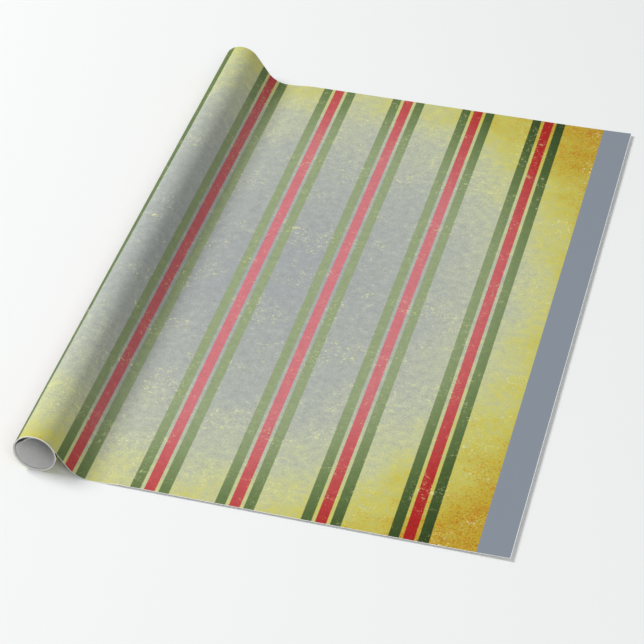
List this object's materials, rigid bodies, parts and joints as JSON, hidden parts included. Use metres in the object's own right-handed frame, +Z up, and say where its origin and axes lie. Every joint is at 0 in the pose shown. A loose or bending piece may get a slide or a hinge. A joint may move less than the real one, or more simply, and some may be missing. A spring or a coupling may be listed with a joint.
{
  "type": "wrapping paper roll",
  "caption": "Gift-wrapping paper on a hollow paperboard core, part unrolled: the sheet leaves the roll in an S-curve and lies flat.",
  "frame": {"origin": "middle of the object's footprint, on the surface that it lies on", "axes": "+Z up; +X from the roll towards the laid sheet's free end; +Y along the roll and across the web's width"},
  "size_m": [0.5232, 0.762, 0.0463],
  "materials": {
    "printed_paper": "matte, printed face with stripes, plain white back",
    "coiled_paper": "matte, tightly wound",
    "core_board_outer": "uncoated paperboard, spiral wound",
    "core_board_inner": "smooth light grey paperboard, spiral wound"
  },
  "bodies": {
    "drawn_sheet": {"laid_sheet": "printed_paper", "sheet_foot": "printed_paper", "rising_sheet": "printed_paper", "outer_wrap": "printed_paper"},
    "wound_roll": {"wound_turns": "coiled_paper"},
    "core": {"core_outer_ply": "core_board_outer", "core_inner_ply": "core_board_inner"}
  },
  "joints": [
    {"name": "roll_turn", "type": "hinge", "parent": "drawn_sheet", "child": "wound_roll", "pos_m": [-0.23478, 0, 0.02313], "axis": [-0.0096, 1, 0], "continuous": true},
    {"name": "core_slide", "type": "slide", "parent": "wound_roll", "child": "core", "axis": [-0.0096, 1, 0], "range_m": [-0.7, 0.7]}
  ]
}
